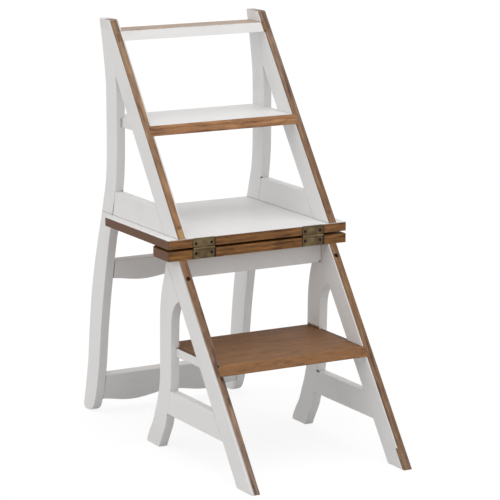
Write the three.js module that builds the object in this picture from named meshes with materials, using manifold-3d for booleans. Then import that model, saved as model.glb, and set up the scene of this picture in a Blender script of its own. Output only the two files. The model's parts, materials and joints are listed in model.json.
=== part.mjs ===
// A folding step stool chair in painted and bare hardwood, standing open as a ladder.
// Its upper half turns over the top on two butt hinges and becomes the back of a chair.
// Millimetres, +Z up. X runs across the chair and Y runs away from whoever climbs it.
// The pieces are placed from the hinge axis, which lies at y = 0, and the last lines
// move them so that the origin is on the floor below the middle of the whole object.

import * as THREE from "three";
import { mergeVertices } from "three/addons/utils/BufferGeometryUtils.js";
import Module from "manifold-3d";

const wasm = await Module();
wasm.setup();

// Driving sizes
const HINGE_HEIGHT = 450;
const FRAME_WIDTH = 388;
const SEAT_OVERHANG = 24;
const FRAME_THICKNESS = 20.5;
const BOARD_THICKNESS = 20;
const LADDER_RUN = 314;
const JOINT_GAP = 0.3;
const FOLD_CLEARANCE = 1;
const OVERRUN = 5;

// Side frames
const STRINGER_WIDTH = 50;
const TOP_LAND = 52;
const STRINGER_TOP_ROUND = 6;
const POST_WIDTH = 50.2;
const POST_SWEEP = 94;
const POST_HEEL_ROUND = 11;
const POST_TOE_ROUND = 34;
const LEG_LINE = 86;
const LEG_SWEEP = 61;
const LEG_WIDTH = 50;
const ARCH_RISE = 58;
const ARCH_RUN = 46;
const UPPER_RAIL_HEIGHT = 53;
const LOWER_RAIL_HEIGHT = 52;
const LOWER_RAIL_LIFT = 83;

// Seat boards, steps and apron
const BOARD_GAP = 5.5;
const FRONT_BOARD_DEPTH = 87;
const FRONT_BOARD_ROUND = 25;
const SEAT_CORNER_ROUND = 12;
const SEAT_NOTCH_CLEARANCE = 1.5;
const HOUSING_DEPTH = 7.5;
const STEP_TOP = 231;
const TREAD_DROP = 22.8;
const APRON_SETBACK = 30;
const APRON_HEIGHT = 45;
const APRON_THICKNESS = 18;

// Rails of the chair's back
const BACK_RAIL_THICKNESS = 18.5;
const WAVE_LENGTH = 190;
const MID_RAIL_TOP = 361;
const MID_RAIL_HEIGHT = 50;
const MID_RAIL_WAVE = 10;
const CREST_RAIL_TOP = 88.5;
const CREST_RAIL_HEIGHT = 69.5;
const CREST_RAIL_WAVE = 12;

// Hinges, screws and dowels
const HINGE_INSET = 40;
const HINGE_WIDTH = 50;
const LEAF_HEIGHT = 22.2;
const LEAF_THICKNESS = 1.4;
const LEAF_SETBACK = 0.4;
const LEAF_ROUND = 2;
const KNUCKLE_RADIUS = 2.4;
const PIN_RADIUS = 1.2;
const PIN_HEAD_RADIUS = 2;
const PIN_HEAD_LENGTH = 0.9;
const HINGE_SCREW_INSET = 6.3;
const HINGE_SCREW_RISE = 10.6;
const HINGE_SCREW = { head: 3.1, shank: 1.5, length: 15, sink: 0 };
const FRAME_SCREW = { head: 3.6, shank: 2, length: 66, sink: 2.5 };
const LEFT_FRAME_SCREW_DROP = 34;
const RIGHT_FRAME_SCREW_DROP = 23;
const SEAT_SCREW = { head: 3.6, shank: 2, length: 50, sink: 6.5 };
const SEAT_SCREW_LIFT = 21.5;
const PLUG_LENGTH = 6;
const DOWEL_RADIUS = 4;
const DOWEL_IN_FRAME = 11;
const DOWEL_IN_RAIL = 18;

// Shapes of the two sawn legs, seen from the side, from the top down.
// Post: height as a share of the ladder's height, far edge as a share of the sweep
// behind the ladder's top, and width as a share of the post's width.
const POST_SHARES = [
  [1, -0.02, 0.78],
  [0.92, -0.2, 0.93],
  [0.845, -0.325, 1],
  [0.755, -0.345, 1],
  [0.667, -0.345, 1],
  [0.605, -0.295, 0.98],
  [0.555, -0.16, 1.05],
  [0.511, -0.04, 1.08],
  [0.461, 0.12, 1.06],
  [0.389, 0.325, 1.14],
  [0.311, 0.5, 1.17],
  [0.222, 0.63, 1.14],
  [0.133, 0.72, 1.11],
  [0.067, 0.85, 1.09],
  [0.038, 0.91, 1.05],
  [0.027, 0.94, 1.02],
  [0.013, 0.98, 1],
  [0, 1, 0.98],
];
// Leg: height as a share of the hinge's height, far edge as a share of the sweep
// behind the leg's straight line, and width as a share of the leg's width.
const LEG_SHARES = [
  [0.95, -0.56, 1.04],
  [0.916, -0.46, 1.04],
  [0.851, -0.33, 1.04],
  [0.798, -0.18, 1.04],
  [0.718, -0.05, 1.04],
  [0.629, 0, 1.04],
  [0.444, 0, 1],
  [0.356, 0, 1],
  [0.298, 0.066, 1],
  [0.233, 0.2, 1.02],
  [0.173, 0.38, 1.09],
  [0.118, 0.54, 1.14],
  [0.067, 0.79, 1.19],
  [0.02, 0.98, 1.19],
  [0, 1, 1.12],
];
const ARCH_START_SHARE = 0.629;

// Counts
const STEPS_PER_SPAN = 2;
const ARC_STEPS = 6;
const WAVE_STEPS = 28;
const PIN_SIDES = 12;
const SCREW_SIDES = 12;

// Sizes worked out from the ones above
const LADDER_HEIGHT = 2 * HINGE_HEIGHT;
const OUTER_X = FRAME_WIDTH / 2;
const INNER_X = OUTER_X - FRAME_THICKNESS;
const FRAME_MID_X = OUTER_X - FRAME_THICKNESS / 2;
const SEAT_WIDTH = FRAME_WIDTH + 2 * SEAT_OVERHANG;
const HINGE_SPREAD = INNER_X - HINGE_INSET;
const SEAT_TOP = HINGE_HEIGHT + BOARD_GAP / 2 + BOARD_THICKNESS;
const SEAT_UNDERSIDE = SEAT_TOP - BOARD_THICKNESS;
const FRONT_BOARD_TOP = HINGE_HEIGHT - BOARD_GAP / 2;
const BASE_TOP = FRONT_BOARD_TOP - BOARD_THICKNESS;
const SHELF_TOP = LADDER_HEIGHT - STEP_TOP + BOARD_THICKNESS;
const TREAD_TOP = LADDER_HEIGHT - TREAD_DROP;
const SLOPE = LADDER_RUN / (LADDER_HEIGHT - SEAT_TOP);
const SLOPE_LENGTH = Math.hypot(1, SLOPE);
const STRINGER_DEPTH = STRINGER_WIDTH * SLOPE_LENGTH;
const SLOPED_GAP = JOINT_GAP * SLOPE_LENGTH;
const FRAME_DEPTH = FOLD_CLEARANCE + LADDER_RUN + TOP_LAND;

const PAINT = { color: 0xe9e8e6, roughness: 0.5, metalness: 0 };
const WOOD = { color: 0x86603f, roughness: 0.6, metalness: 0 };
const DOWEL_WOOD = { color: 0xc9a878, roughness: 0.7, metalness: 0 };
const BRASS = { color: 0x7a6a48, roughness: 0.45, metalness: 0.9 };
const STEEL = { color: 0x4c4a48, roughness: 0.4, metalness: 0.9 };

// Front faces of the stringers, as depth at a height
const upperFront = (z) => FOLD_CLEARANCE + SLOPE * (z - SEAT_TOP);
const lowerFront = (z) => FOLD_CLEARANCE - SLOPE * (BASE_TOP - z);

const ACROSS = new THREE.Vector3(1, 0, 0);
const INWARD = new THREE.Vector3(0, 1, 0);
const UPWARD = new THREE.Vector3(0, 0, 1);
const INTO_STRINGER = new THREE.Vector3(0, 1, -SLOPE).normalize();

// Turning geometries into solids that can be joined and cut, and back

function toSolid(geometry) {
  const bare = geometry.clone();
  bare.deleteAttribute("normal");
  bare.deleteAttribute("uv");
  const merged = mergeVertices(bare);
  return new wasm.Manifold(
    new wasm.Mesh({
      numProp: 3,
      vertProperties: new Float32Array(merged.attributes.position.array),
      triVerts: new Uint32Array(merged.index.array),
    }),
  );
}

function toGeometry(solid) {
  const mesh = solid.getMesh();
  const geometry = new THREE.BufferGeometry();
  geometry.setAttribute("position", new THREE.BufferAttribute(mesh.vertProperties, 3));
  geometry.setIndex(new THREE.BufferAttribute(mesh.triVerts, 1));
  geometry.computeVertexNormals();
  return geometry;
}

// Basic forms

// A flat outline of [x, y] points, given a thickness upwards from z.
function plate(points, z, thickness) {
  const shape = new THREE.Shape(points.map(([x, y]) => new THREE.Vector2(x, y)));
  const geometry = new THREE.ExtrudeGeometry(shape, { depth: thickness, bevelEnabled: false });
  return toSolid(geometry.translate(0, 0, z));
}

// An outline of [depth, height] points seen from the side, from x across to x + thickness.
function sidePlate(points, x, thickness) {
  const shape = new THREE.Shape(points.map(([y, z]) => new THREE.Vector2(y, z)));
  const geometry = new THREE.ExtrudeGeometry(shape, { depth: thickness, bevelEnabled: false });
  const turn = new THREE.Matrix4().makeBasis(
    new THREE.Vector3(0, 1, 0),
    new THREE.Vector3(0, 0, 1),
    new THREE.Vector3(1, 0, 0),
  );
  return toSolid(geometry.applyMatrix4(turn).translate(x, 0, 0));
}

// A side frame piece on the left (side -1) or right (side 1).
function framePlate(points, side) {
  return sidePlate(points, side < 0 ? -OUTER_X : INNER_X, FRAME_THICKNESS);
}

function box(x0, x1, y0, y1, z0, z1) {
  const geometry = new THREE.BoxGeometry(x1 - x0, y1 - y0, z1 - z0);
  return toSolid(geometry.translate((x0 + x1) / 2, (y0 + y1) / 2, (z0 + z1) / 2));
}

// A solid of revolution from [radius, distance] points, standing at a place along a direction.
function turned(profile, place, direction, sides) {
  const geometry = new THREE.LatheGeometry(
    profile.map(([r, d]) => new THREE.Vector2(r, d)),
    sides,
  );
  const turn = new THREE.Quaternion().setFromUnitVectors(INWARD, direction);
  return toSolid(geometry.applyQuaternion(turn).translate(place.x, place.y, place.z));
}

const rod = (radius, length, place, direction, sides = PIN_SIDES) =>
  turned([[0, 0], [radius, 0], [radius, length], [0, length]], place, direction, sides);

// A quarter turn that rounds a corner of an outline between two directions.
function cornerArc(cx, cy, radius, fromAngle, toAngle) {
  const arc = [];
  for (let i = 0; i <= ARC_STEPS; i++) {
    const a = THREE.MathUtils.lerp(fromAngle, toAngle, i / ARC_STEPS);
    arc.push([cx + radius * Math.cos(a), cy + radius * Math.sin(a)]);
  }
  return arc;
}

// A smooth edge through [depth, height] points.
function smoothEdge(points) {
  const curve = new THREE.SplineCurve(points.map(([y, z]) => new THREE.Vector2(y, z)));
  return curve.getPoints(STEPS_PER_SPAN * (points.length - 1)).map((p) => [p.x, p.y]);
}

// Depth of an edge at a height, on its straight facets.
function depthAt(edge, z) {
  for (let i = 0; i + 1 < edge.length; i++) {
    const [[y0, z0], [y1, z1]] = [edge[i], edge[i + 1]];
    if ((z - z0) * (z - z1) <= 0 && z0 !== z1) return y0 + ((y1 - y0) * (z - z0)) / (z1 - z0);
  }
  return z > edge[0][1] ? edge[0][0] : edge.at(-1)[0];
}

// Edges of the back posts and of the legs

const postFar = smoothEdge(
  POST_SHARES.map(([h, sweep]) => [FRAME_DEPTH + sweep * POST_SWEEP, h * LADDER_HEIGHT]),
);
const postNear = smoothEdge(
  POST_SHARES.map(([h, sweep, width]) => [
    FRAME_DEPTH + sweep * POST_SWEEP - width * POST_WIDTH,
    h * LADDER_HEIGHT,
  ]),
);
const legFar = smoothEdge(LEG_SHARES.map(([h, sweep]) => [LEG_LINE + sweep * LEG_SWEEP, h * HINGE_HEIGHT]));
const legNear = smoothEdge(
  LEG_SHARES.map(([h, sweep, width]) => [
    LEG_LINE + sweep * LEG_SWEEP - width * LEG_WIDTH,
    h * HINGE_HEIGHT,
  ]),
);

const POST_BACK_AT_SEAT = depthAt(postFar, SEAT_TOP);
const SEAT_NOTCH = depthAt(postNear, SEAT_TOP) - SEAT_NOTCH_CLEARANCE;

// Everything behind the post's near edge, or ahead of a stringer's back edge, as a cutter
function behindPost(side) {
  const edge = postNear.map(([y, z]) => [y - JOINT_GAP, z]);
  const [top, bottom] = [edge[0], edge.at(-1)];
  const back = postFar.at(-1)[0] + OVERRUN;
  const outline = [
    [bottom[0], bottom[1] - OVERRUN],
    [back, bottom[1] - OVERRUN],
    [back, top[1] + OVERRUN],
    [top[0], top[1] + OVERRUN],
    ...edge,
  ];
  return sidePlate(outline, side * FRAME_MID_X - FRAME_THICKNESS, 2 * FRAME_THICKNESS);
}

function aheadOfLowerStringerBack(side) {
  const back = (z) => lowerFront(z) + STRINGER_DEPTH + SLOPED_GAP;
  const ahead = lowerFront(0) - OVERRUN;
  const outline = [
    [ahead, -OVERRUN],
    [back(-OVERRUN), -OVERRUN],
    [back(HINGE_HEIGHT), HINGE_HEIGHT],
    [ahead, HINGE_HEIGHT],
  ];
  return sidePlate(outline, side * FRAME_MID_X - FRAME_THICKNESS, 2 * FRAME_THICKNESS);
}

// Side frames

// Both corners of the foot are rounded, and the near one follows the lean of its edge.
function backPost(side) {
  const r = POST_HEEL_ROUND;
  const heel = depthAt(postFar, r) - r;
  const lean = Math.atan2(depthAt(postNear, 0) - depthAt(postNear, POST_TOE_ROUND), POST_TOE_ROUND);
  const touch = POST_TOE_ROUND * (1 - Math.sin(lean));
  const toe = depthAt(postNear, touch) + POST_TOE_ROUND * Math.cos(lean);
  const outline = [
    ...postNear.filter(([, z]) => z > touch),
    ...cornerArc(toe, POST_TOE_ROUND, POST_TOE_ROUND, Math.PI + lean, 1.5 * Math.PI),
    ...cornerArc(heel, r, r, 1.5 * Math.PI, 2 * Math.PI),
    ...postFar.filter(([, z]) => z > r).reverse(),
  ];
  return framePlate(outline, side);
}

function upperStringer(side) {
  const foot = SEAT_TOP + JOINT_GAP;
  const r = STRINGER_TOP_ROUND;
  const nose = LADDER_HEIGHT - r;
  const outline = [
    [upperFront(foot), foot],
    [upperFront(foot) + STRINGER_DEPTH, foot],
    [upperFront(LADDER_HEIGHT) + STRINGER_DEPTH, LADDER_HEIGHT],
    ...cornerArc(upperFront(nose) + r * SLOPE_LENGTH, nose, r, Math.PI / 2, Math.atan2(SLOPE, -1)),
  ];
  return framePlate(outline, side).subtract(behindPost(side));
}

function upperSideRail(side) {
  const foot = SEAT_TOP + JOINT_GAP;
  const top = foot + UPPER_RAIL_HEIGHT;
  const start = (z) => upperFront(z) + STRINGER_DEPTH + SLOPED_GAP;
  const end = postNear.at(-1)[0];
  const outline = [
    [start(foot), foot],
    [end, foot],
    [end, top],
    [start(top), top],
  ];
  return framePlate(outline, side).subtract(behindPost(side));
}

function baseStringer(side) {
  const top = BASE_TOP - JOINT_GAP;
  const outline = [
    [lowerFront(0), 0],
    [lowerFront(0) + STRINGER_DEPTH, 0],
    [lowerFront(top) + STRINGER_DEPTH, top],
    [lowerFront(top), top],
  ];
  return framePlate(outline, side);
}

// The leg's near edge ends in an arch that runs up to the stringer.
function baseLeg(side) {
  const springing = ARCH_START_SHARE * HINGE_HEIGHT;
  const arch = [];
  for (let i = ARC_STEPS; i > 0; i--) {
    const a = (Math.PI / 2) * (i / ARC_STEPS);
    arch.push([
      depthAt(legNear, springing) - ARCH_RUN * (1 - Math.cos(a)),
      springing + ARCH_RISE * Math.sin(a),
    ]);
  }
  const top = BASE_TOP - JOINT_GAP;
  const outline = [
    [lowerFront(top), top],
    [arch[0][0], arch[0][1]],
    ...arch.slice(1),
    ...legNear.filter(([, z]) => z <= springing),
    ...legFar.filter(([, z]) => z < top).reverse(),
    [depthAt(legFar, top), top],
  ];
  return framePlate(outline, side).subtract(aheadOfLowerStringerBack(side));
}

function baseSideRail(side) {
  const bottom = LOWER_RAIL_LIFT;
  const top = bottom + LOWER_RAIL_HEIGHT;
  const start = (z) => lowerFront(z) + STRINGER_DEPTH + SLOPED_GAP;
  const edge = [bottom, ...legNear.map(([, z]) => z).filter((z) => z > bottom && z < top).reverse(), top];
  const outline = [
    [start(bottom), bottom],
    ...edge.map((z) => [depthAt(legNear, z) - JOINT_GAP, z]),
    [start(top), top],
  ];
  return framePlate(outline, side);
}

// Boards that cross from frame to frame

// A step, shelf or tread: its front edge follows the stringers' slope, its ends are let into
// them, and it narrows to pass between the posts or legs behind them. Grown, it is the cutter
// for its housings, open at the front.
function crossBoard({ top, front, notch, back, grow = 0 }) {
  const bottom = top - BOARD_THICKNESS;
  const wide = INNER_X + HOUSING_DEPTH + grow;
  const narrow = INNER_X - JOINT_GAP;
  const ahead = Math.min(front(top), front(bottom)) - OVERRUN;
  const outline = [
    [-wide, ahead],
    [wide, ahead],
    [wide, notch + grow],
    [narrow, notch + grow],
    [narrow, back],
    [-narrow, back],
    [-narrow, notch + grow],
    [-wide, notch + grow],
  ];
  const z0 = bottom - grow;
  const z1 = top + grow;
  const lead = grow ? OVERRUN : 0;
  const profile = [
    [front(z0) - lead, z0],
    [back + OVERRUN, z0],
    [back + OVERRUN, z1],
    [front(z1) - lead, z1],
  ];
  return plate(outline, z0, z1 - z0).intersect(sidePlate(profile, -SEAT_WIDTH / 2, SEAT_WIDTH));
}

const nearPostAt = (top) =>
  Math.min(depthAt(postNear, top), depthAt(postNear, top - BOARD_THICKNESS)) - JOINT_GAP;
const farPostAt = (top) => Math.min(depthAt(postFar, top), depthAt(postFar, top - BOARD_THICKNESS));

const STEP = {
  top: STEP_TOP,
  front: lowerFront,
  notch: Math.min(depthAt(legNear, STEP_TOP), depthAt(legNear, STEP_TOP - BOARD_THICKNESS)) - JOINT_GAP,
  back: depthAt(legFar, STEP_TOP),
};
const SHELF = {
  top: SHELF_TOP,
  front: upperFront,
  notch: nearPostAt(SHELF_TOP),
  back: farPostAt(SHELF_TOP),
};
const TREAD = {
  top: TREAD_TOP,
  front: upperFront,
  notch: nearPostAt(TREAD_TOP),
  back: farPostAt(TREAD_TOP),
};
const housing = (board) => crossBoard({ ...board, grow: JOINT_GAP });

// The seat's main board: it overhangs the frames and is notched round the posts.
function seatBoard() {
  const w = SEAT_WIDTH / 2;
  const r = SEAT_CORNER_ROUND;
  const tongue = INNER_X - JOINT_GAP;
  const outline = [
    [-w, FOLD_CLEARANCE],
    [w, FOLD_CLEARANCE],
    ...cornerArc(w - r, SEAT_NOTCH - r, r, 0, Math.PI / 2),
    [tongue, SEAT_NOTCH],
    [tongue, POST_BACK_AT_SEAT],
    [-tongue, POST_BACK_AT_SEAT],
    [-tongue, SEAT_NOTCH],
    ...cornerArc(r - w, SEAT_NOTCH - r, r, Math.PI / 2, Math.PI),
  ];
  return plate(outline, SEAT_UNDERSIDE, BOARD_THICKNESS);
}

// The strip that fronts the seat when the object stands as a chair.
function frontSeatBoard() {
  const w = SEAT_WIDTH / 2;
  const r = FRONT_BOARD_ROUND;
  const back = FOLD_CLEARANCE + FRONT_BOARD_DEPTH;
  const outline = [
    [-w, FOLD_CLEARANCE],
    [w, FOLD_CLEARANCE],
    ...cornerArc(w - r, back - r, r, 0, Math.PI / 2),
    ...cornerArc(r - w, back - r, r, Math.PI / 2, Math.PI),
  ];
  return plate(outline, BASE_TOP, BOARD_THICKNESS);
}

function baseApron() {
  const x = INNER_X - JOINT_GAP;
  const top = BASE_TOP - JOINT_GAP;
  return box(-x, x, APRON_SETBACK, APRON_SETBACK + APRON_THICKNESS, top - APRON_HEIGHT, top);
}

// Rails of the chair's back: the near face is flush with the posts' near edges and leans
// with them, and the lower edge is sawn in waves that hang lowest on either side of the middle.
function leaningRail(top, height, wave) {
  const y = depthAt(postNear, top);
  const lean = Math.atan2(depthAt(postNear, top - height) - y, height);
  return { top, y, lean, wave, height: height / Math.cos(lean) };
}

const MID_RAIL = leaningRail(MID_RAIL_TOP, MID_RAIL_HEIGHT, MID_RAIL_WAVE);
const CREST_RAIL = leaningRail(CREST_RAIL_TOP, CREST_RAIL_HEIGHT, CREST_RAIL_WAVE);

function backRail(rail) {
  const half = INNER_X - JOINT_GAP;
  const rise = (x) => (rail.wave * (1 + Math.cos((2 * Math.PI * x) / WAVE_LENGTH))) / 2;
  const outline = [
    [half, 0],
    [-half, 0],
  ];
  for (let i = 0; i <= WAVE_STEPS; i++) {
    const x = THREE.MathUtils.lerp(-half, half, i / WAVE_STEPS);
    outline.push([x, rise(x) - rail.height]);
  }
  const shape = new THREE.Shape(outline.map(([x, z]) => new THREE.Vector2(x, z)));
  const geometry = new THREE.ExtrudeGeometry(shape, { depth: BACK_RAIL_THICKNESS, bevelEnabled: false });
  geometry.translate(0, 0, -BACK_RAIL_THICKNESS);
  geometry.rotateX(Math.PI / 2 + rail.lean);
  return toSolid(geometry.translate(0, rail.y, rail.top));
}

// The middle of a rail's section, where its dowels run.
function railMiddle({ top, y, lean, height }) {
  const [down, back] = [height / 2, BACK_RAIL_THICKNESS / 2];
  return [
    y + down * Math.sin(lean) + back * Math.cos(lean),
    top - down * Math.cos(lean) + back * Math.sin(lean),
  ];
}

// Hinges

// Knuckles, as shares of the hinge's width from its left end: the upper leaf has the middle
// one and the lower leaf has the outer two.
const UPPER_KNUCKLE_SHARES = [[1 / 3, 2 / 3]];
const LOWER_KNUCKLE_SHARES = [[0, 1 / 3], [2 / 3, 1]];

// A leaf as it lies against the upper board. For the lower board it is turned upside down.
function hingeLeaf(side, upper) {
  const clear = KNUCKLE_RADIUS + JOINT_GAP;
  const half = HINGE_WIDTH / 2;
  const r = LEAF_ROUND;
  const outline = [
    [-half, clear],
    [half, clear],
    ...cornerArc(half - r, LEAF_HEIGHT - r, r, 0, Math.PI / 2),
    ...cornerArc(r - half, LEAF_HEIGHT - r, r, Math.PI / 2, Math.PI),
  ];
  const shape = new THREE.Shape(outline.map(([x, z]) => new THREE.Vector2(x, z)));
  const sheet = new THREE.ExtrudeGeometry(shape, { depth: LEAF_THICKNESS, bevelEnabled: false });
  sheet.rotateX(Math.PI / 2);
  const back = LEAF_SETBACK + LEAF_THICKNESS;
  let leaf = toSolid(sheet.translate(0, back, 0));
  for (const [from, to] of upper ? UPPER_KNUCKLE_SHARES : LOWER_KNUCKLE_SHARES) {
    const x0 = from * HINGE_WIDTH - half + (from > 0 ? JOINT_GAP / 2 : 0);
    const x1 = to * HINGE_WIDTH - half - (to < 1 ? JOINT_GAP / 2 : 0);
    leaf = leaf
      .add(rod(KNUCKLE_RADIUS, x1 - x0, new THREE.Vector3(x0, 0, 0), ACROSS))
      .add(box(x0, x1, LEAF_SETBACK, back, 0, clear + LEAF_THICKNESS));
  }
  const bore = new THREE.Vector3(-half - OVERRUN, 0, 0);
  leaf = leaf.subtract(rod(PIN_RADIUS + JOINT_GAP, HINGE_WIDTH + 2 * OVERRUN, bore, ACROSS));
  if (!upper) leaf = leaf.mirror([0, 0, 1]);
  return leaf.translate([side * HINGE_SPREAD, 0, HINGE_HEIGHT]);
}

// The recess for a leaf, across the whole thickness of a seat board's front edge.
function leafRecess(side, upper) {
  const half = HINGE_WIDTH / 2 + JOINT_GAP;
  const x = side * HINGE_SPREAD;
  const reach = BOARD_GAP / 2 + BOARD_THICKNESS + OVERRUN;
  const [z0, z1] = upper ? [HINGE_HEIGHT, HINGE_HEIGHT + reach] : [HINGE_HEIGHT - reach, HINGE_HEIGHT];
  const depth = LEAF_SETBACK + LEAF_THICKNESS + JOINT_GAP;
  return box(x - half, x + half, -OVERRUN, depth, z0, z1);
}

function hingePin(side) {
  const half = HINGE_WIDTH / 2 + JOINT_GAP;
  const profile = [
    [0, -half - PIN_HEAD_LENGTH],
    [PIN_HEAD_RADIUS, -half - PIN_HEAD_LENGTH],
    [PIN_HEAD_RADIUS, -half],
    [PIN_RADIUS, -half],
    [PIN_RADIUS, half],
    [PIN_HEAD_RADIUS, half],
    [PIN_HEAD_RADIUS, half + PIN_HEAD_LENGTH],
    [0, half + PIN_HEAD_LENGTH],
  ];
  const place = new THREE.Vector3(side * HINGE_SPREAD, 0, HINGE_HEIGHT);
  return turned(profile, place, ACROSS, PIN_SIDES);
}

// Screws and dowels

// A countersunk screw driven in a direction from a place on a face. Grown, it is the cutter
// for its hole, open at the face.
function screw(size, place, direction, grow = 0) {
  const start = grow ? -OVERRUN : size.sink;
  const point = 2 * size.shank;
  const profile = [
    [0, start],
    [size.head + grow, start],
    [size.head + grow, size.sink + grow],
    [size.shank + grow, size.sink + size.head - size.shank + grow],
    [size.shank + grow, size.length - point],
    [0, size.length + grow],
  ];
  return turned(profile, place, direction, SCREW_SIDES);
}

// A place on the front face of a frame's stringer, in the middle of its thickness.
const onStringer = (side, front, z) => new THREE.Vector3(side * FRAME_MID_X, front(z), z);

// A place on the front of a hinge leaf: across is -1 or 1 from the hinge's middle.
function onLeaf(side, across, upper) {
  const x = side * HINGE_SPREAD + across * (HINGE_WIDTH / 2 - HINGE_SCREW_INSET);
  const z = HINGE_HEIGHT + (upper ? HINGE_SCREW_RISE : -HINGE_SCREW_RISE);
  return new THREE.Vector3(x, LEAF_SETBACK, z);
}

// A dowel across the joint between a rail's end and the frame beside it.
function railDowel(side, y, z, grow) {
  const length = DOWEL_IN_FRAME + DOWEL_IN_RAIL + 2 * grow;
  const start = new THREE.Vector3(side * (INNER_X - DOWEL_IN_RAIL - grow), y, z);
  return rod(DOWEL_RADIUS + grow, length, start, ACROSS.clone().multiplyScalar(side));
}

// An upright dowel between a seat board and the frame above or below it.
function uprightDowel(side, y, bottom, top, grow) {
  const start = new THREE.Vector3(side * FRAME_MID_X, y, bottom - grow);
  return rod(DOWEL_RADIUS + grow, top - bottom + 2 * grow, start, UPWARD);
}

// The assembly: solids by name, so that fasteners can cut what they pass through

const solids = new Map();
const looks = new Map();

function place(name, solid, look) {
  solids.set(name, solid);
  looks.set(name, look);
}

function cut(name, cutter) {
  solids.set(name, solids.get(name).subtract(cutter));
}

// Places a fastener, and cuts its hole with the joint gap around it.
function fasten(name, form, look, through) {
  place(name, form(0), look);
  for (const piece of through) cut(piece, form(JOINT_GAP));
}

const SIDES = [
  ["left", -1],
  ["right", 1],
];

for (const [label, side] of SIDES) {
  place(`base_leg_${label}`, baseLeg(side).subtract(housing(STEP)), PAINT);
  place(`base_stringer_${label}`, baseStringer(side).subtract(housing(STEP)), PAINT);
  place(`base_side_rail_${label}`, baseSideRail(side), PAINT);
  const post = backPost(side).subtract(housing(SHELF)).subtract(housing(TREAD));
  const stringer = upperStringer(side).subtract(housing(SHELF)).subtract(housing(TREAD));
  place(`back_post_${label}`, post, PAINT);
  place(`upper_stringer_${label}`, stringer, PAINT);
  place(`upper_side_rail_${label}`, upperSideRail(side), PAINT);
}
place("base_step", crossBoard(STEP), WOOD);
place("base_apron", baseApron(), PAINT);
place("front_seat_board", frontSeatBoard(), WOOD);
place("seat_board", seatBoard(), WOOD);
place("shelf", crossBoard(SHELF), PAINT);
place("top_tread", crossBoard(TREAD), WOOD);
place("back_mid_rail", backRail(MID_RAIL), PAINT);
place("back_crest_rail", backRail(CREST_RAIL), PAINT);

for (const [label, side] of SIDES) {
  place(`hinge_${label}_pin`, hingePin(side), BRASS);
  for (const level of ["upper", "lower"]) {
    const upper = level === "upper";
    const leaf = `hinge_${label}_${level}_leaf`;
    const board = upper ? "seat_board" : "front_seat_board";
    place(leaf, hingeLeaf(side, upper), BRASS);
    cut(board, leafRecess(side, upper));
    for (const [end, across] of [["a", -1], ["b", 1]]) {
      const at = onLeaf(side, across, upper);
      const form = (grow) => screw(HINGE_SCREW, at, INWARD, grow);
      fasten(`hinge_${label}_${level}_screw_${end}`, form, BRASS, [leaf, board]);
    }
  }

  // The base stringer is screwed to the leg behind it through its front face.
  const drop = side < 0 ? LEFT_FRAME_SCREW_DROP : RIGHT_FRAME_SCREW_DROP;
  const low = onStringer(side, lowerFront, BASE_TOP - drop);
  const frameScrew = (grow) => screw(FRAME_SCREW, low, INTO_STRINGER, grow);
  const baseFrame = [`base_stringer_${label}`, `base_leg_${label}`];
  fasten(`base_stringer_screw_${label}`, frameScrew, STEEL, baseFrame);

  // The upper stringer is screwed down to the seat, and the screw's hole is plugged.
  const high = onStringer(side, upperFront, SEAT_TOP + SEAT_SCREW_LIFT);
  const seatScrew = (grow) => screw(SEAT_SCREW, high, INTO_STRINGER, grow);
  const upperFrame = [`upper_stringer_${label}`, "seat_board"];
  fasten(`upper_stringer_screw_${label}`, seatScrew, STEEL, upperFrame);
  const plug = rod(SEAT_SCREW.head, PLUG_LENGTH, high, INTO_STRINGER, SCREW_SIDES);
  place(`upper_stringer_plug_${label}`, plug, WOOD);

  for (const [name, rail] of [["mid_rail", MID_RAIL], ["crest_rail", CREST_RAIL]]) {
    const form = (grow) => railDowel(side, ...railMiddle(rail), grow);
    const pieces = [`back_${name}`, `back_post_${label}`];
    fasten(`${name}_dowel_${label}`, form, DOWEL_WOOD, pieces);
  }
  const apronY = APRON_SETBACK + APRON_THICKNESS / 2;
  const apronZ = BASE_TOP - JOINT_GAP - APRON_HEIGHT / 2;
  const apronDowel = (grow) => railDowel(side, apronY, apronZ, grow);
  fasten(`apron_dowel_${label}`, apronDowel, DOWEL_WOOD, ["base_apron", ...baseFrame]);

  const inBoard = BOARD_THICKNESS / 2;
  const railY = (SEAT_NOTCH + upperFront(SEAT_TOP) + STRINGER_DEPTH) / 2;
  const railDown = (grow) =>
    uprightDowel(side, railY, SEAT_TOP - inBoard, SEAT_TOP + DOWEL_IN_RAIL, grow);
  const railPieces = ["seat_board", `upper_side_rail_${label}`];
  fasten(`side_rail_dowel_${label}`, railDown, DOWEL_WOOD, railPieces);
  const baseUp = (grow) =>
    uprightDowel(side, APRON_SETBACK / 2, BASE_TOP - DOWEL_IN_RAIL, BASE_TOP + inBoard, grow);
  const basePieces = ["front_seat_board", `base_stringer_${label}`];
  fasten(`front_board_dowel_${label}`, baseUp, DOWEL_WOOD, basePieces);
}

// The origin goes to the floor below the middle of the whole object.
const nearest = lowerFront(0);
const furthest = depthAt(postFar, POST_HEEL_ROUND);
const chair = new THREE.Group();
chair.position.y = -(nearest + furthest) / 2;
for (const [name, solid] of solids) {
  const look = new THREE.MeshStandardMaterial(looks.get(name));
  const mesh = new THREE.Mesh(toGeometry(solid), look);
  mesh.name = name;
  chair.add(mesh);
}

export default chair;
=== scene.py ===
"""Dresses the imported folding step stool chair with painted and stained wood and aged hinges."""

import json
import math
from functools import reduce

import bmesh
import bpy
from mathutils import Matrix, Vector
from mathutils.bvhtree import BVHTree


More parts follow.
